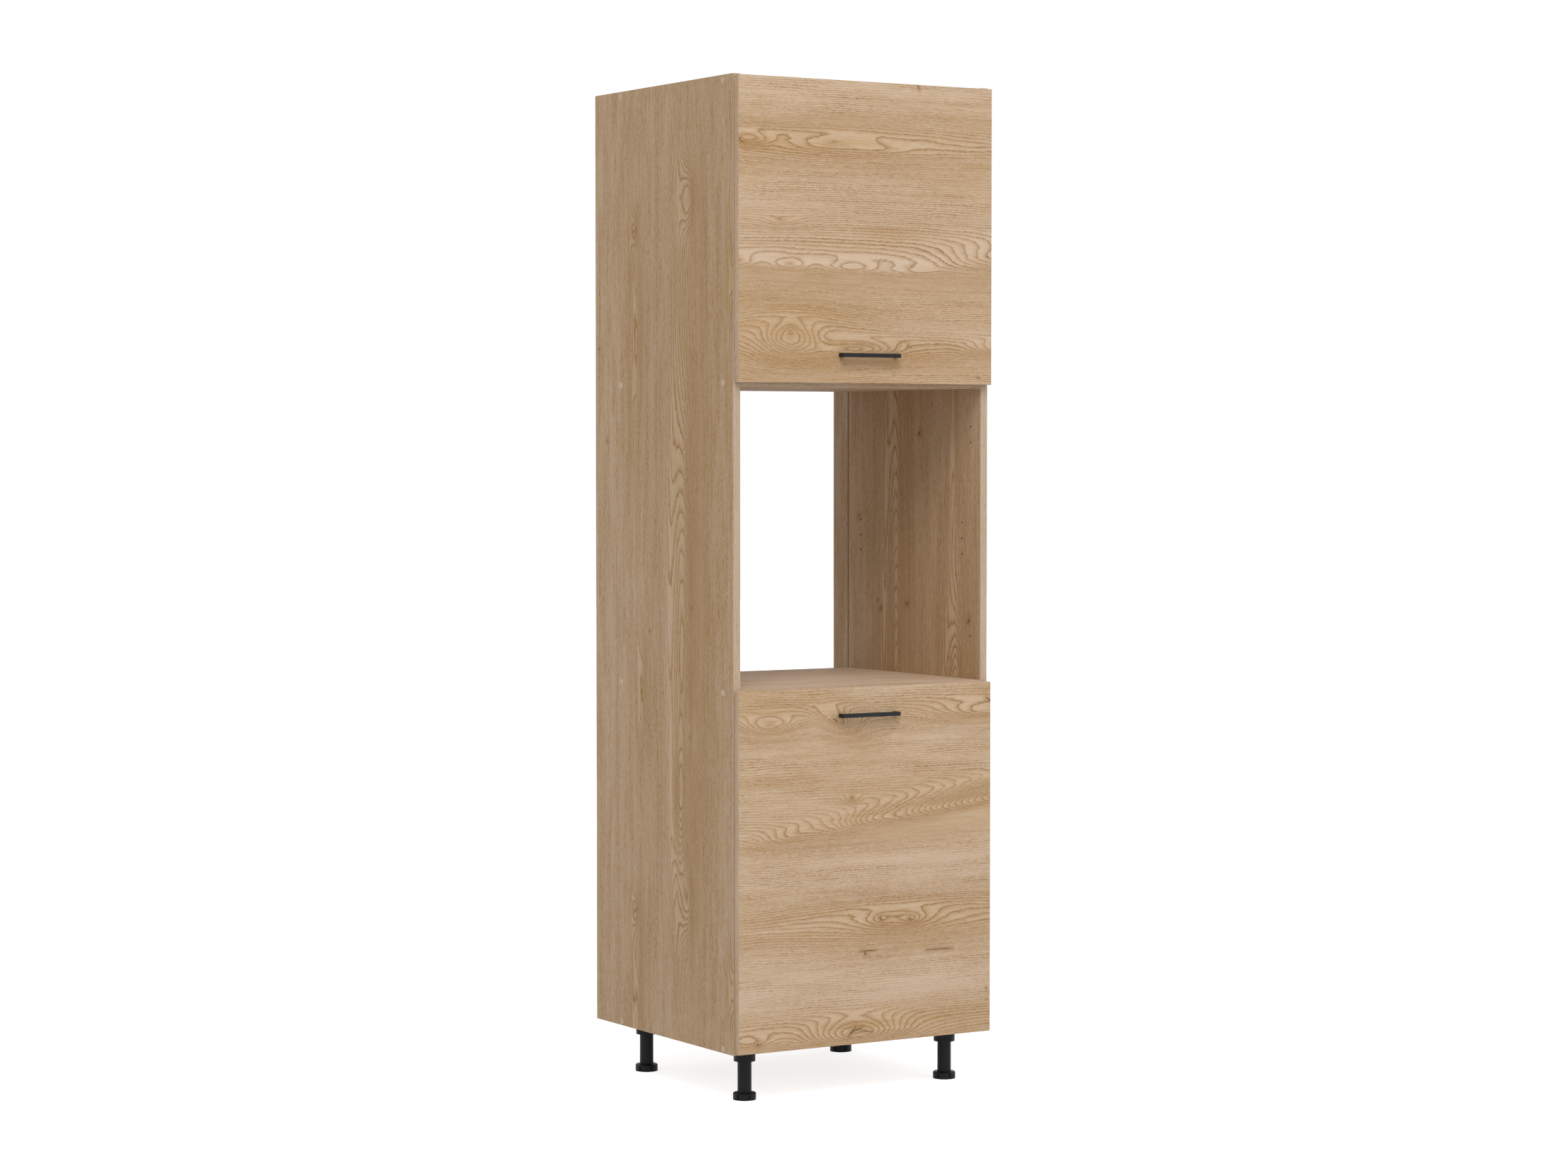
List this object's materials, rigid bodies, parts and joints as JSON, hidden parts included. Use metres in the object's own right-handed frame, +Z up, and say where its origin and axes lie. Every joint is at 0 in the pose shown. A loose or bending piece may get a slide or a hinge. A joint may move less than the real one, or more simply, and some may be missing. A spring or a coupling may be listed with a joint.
{
  "type": "appliance housing cabinet",
  "caption": "Tall oak-decor kitchen cabinet for a built-in oven: open niche between a lift-up flap and a pull-out box, on levelling legs, with black bow handles.",
  "frame": {"origin": "on the floor, under the middle of the whole outline with its handles", "axes": "+Z up, the fronts face -Y, +X to the right seen from the front"},
  "size_m": [0.6, 0.596, 2.02],
  "materials": {
    "oak_front": "light oak decor, grain across, matt",
    "oak_side": "light oak decor, grain upright, matt",
    "oak_panel": "light oak decor, grain across, matt",
    "oak_box": "light oak decor, matt",
    "back_board": "thin fibreboard, printed light oak on the inside",
    "black_metal": "matt black powder coat",
    "black_plastic": "moulded black plastic, satin",
    "cover_plastic": "oak-coloured screw cover",
    "housing_plastic": "light grey moulded housing",
    "soft_pad": "soft clear pad",
    "nickel_steel": "nickel-plated steel",
    "zinc_steel": "zinc-plated steel",
    "screw_steel": "zinc-plated screws"
  },
  "bodies": {
    "carcass": {"left_side_panel": "oak_side", "right_side_panel": "oak_side", "bottom_panel": "oak_panel", "niche_floor_panel": "oak_panel", "niche_top_panel": "oak_panel", "top_panel": "oak_panel", "lower_back_panel": "back_board", "upper_back_panel": "back_board", "upper_shelf": "oak_panel", "shelf_pegs": "nickel_steel", "assembly_screws": "screw_steel", "screw_covers": "cover_plastic", "left_wall_bracket": "zinc_steel", "right_wall_bracket": "zinc_steel", "fitting_screws": "screw_steel", "front_bumpers": "soft_pad", "leg_sockets": "black_plastic", "left_front_leg_tube": "black_plastic", "right_front_leg_tube": "black_plastic", "left_back_leg_tube": "black_plastic", "right_back_leg_tube": "black_plastic", "left_hinge_arm": "nickel_steel", "right_hinge_arm": "nickel_steel", "left_hinge_plate": "nickel_steel", "right_hinge_plate": "nickel_steel", "left_lift_housing": "housing_plastic", "right_lift_housing": "housing_plastic", "left_cabinet_rail": "zinc_steel", "right_cabinet_rail": "zinc_steel"},
    "flap": {"upper_front": "oak_front", "upper_handle": "black_metal", "upper_handle_screws": "screw_steel", "flap_screws": "screw_steel", "left_hinge_cup": "nickel_steel", "right_hinge_cup": "nickel_steel", "left_hinge_pin": "nickel_steel", "right_hinge_pin": "nickel_steel", "left_flap_bracket": "nickel_steel", "right_flap_bracket": "nickel_steel"},
    "lift_levers": {"left_lift_lever": "nickel_steel", "right_lift_lever": "nickel_steel"},
    "lift_links": {"left_lift_link": "nickel_steel", "right_lift_link": "nickel_steel"},
    "pull_out": {"lower_front": "oak_front", "lower_handle": "black_metal", "lower_handle_screws": "screw_steel", "left_box_side": "oak_box", "right_box_side": "oak_box", "box_inner_front": "oak_box", "box_back": "oak_box", "box_bottom": "oak_box", "box_screws": "screw_steel", "left_drawer_rail": "zinc_steel", "right_drawer_rail": "zinc_steel"},
    "runner_middles": {"left_middle_rail": "zinc_steel", "right_middle_rail": "zinc_steel"},
    "left_front_leg_foot": {"left_front_leg_foot": "black_plastic"},
    "right_front_leg_foot": {"right_front_leg_foot": "black_plastic"},
    "left_back_leg_foot": {"left_back_leg_foot": "black_plastic"},
    "right_back_leg_foot": {"right_back_leg_foot": "black_plastic"}
  },
  "joints": [
    {"name": "flap_lift", "type": "hinge", "parent": "carcass", "child": "flap", "pos_m": [0, -0.274, 2.0105], "axis": [-1, 0, 0], "range_deg": [0, 90]},
    {"name": "lift_lever_turn", "type": "hinge", "parent": "carcass", "child": "lift_levers", "pos_m": [0, -0.199, 1.9485], "axis": [-1, 0, 0], "range_deg": [0, 90]},
    {"name": "lift_link_turn", "type": "hinge", "parent": "lift_levers", "child": "lift_links", "pos_m": [0, -0.173, 1.7785], "axis": [-1, 0, 0], "range_deg": [-90, 0]},
    {"name": "pull_out_slide", "type": "slide", "parent": "carcass", "child": "pull_out", "axis": [0, -1, 0], "range_m": [0, 0.45]},
    {"name": "runner_middle_slide", "type": "slide", "parent": "carcass", "child": "runner_middles", "axis": [0, -1, 0], "range_m": [0, 0.225]},
    {"name": "left_front_leg_foot_level", "type": "slide", "parent": "carcass", "child": "left_front_leg_foot", "axis": [0, 0, -1], "range_m": [0, 0.015]},
    {"name": "right_front_leg_foot_level", "type": "slide", "parent": "carcass", "child": "right_front_leg_foot", "axis": [0, 0, -1], "range_m": [0, 0.015]},
    {"name": "left_back_leg_foot_level", "type": "slide", "parent": "carcass", "child": "left_back_leg_foot", "axis": [0, 0, -1], "range_m": [0, 0.015]},
    {"name": "right_back_leg_foot_level", "type": "slide", "parent": "carcass", "child": "right_back_leg_foot", "axis": [0, 0, -1], "range_m": [0, 0.015]}
  ],
  "couplings": [
    {"joint": "lift_lever_turn", "follows": "flap_lift", "ratio": 1},
    {"joint": "lift_link_turn", "follows": "flap_lift", "ratio": -1},
    {"joint": "runner_middle_slide", "follows": "pull_out_slide", "ratio": 0.5}
  ]
}
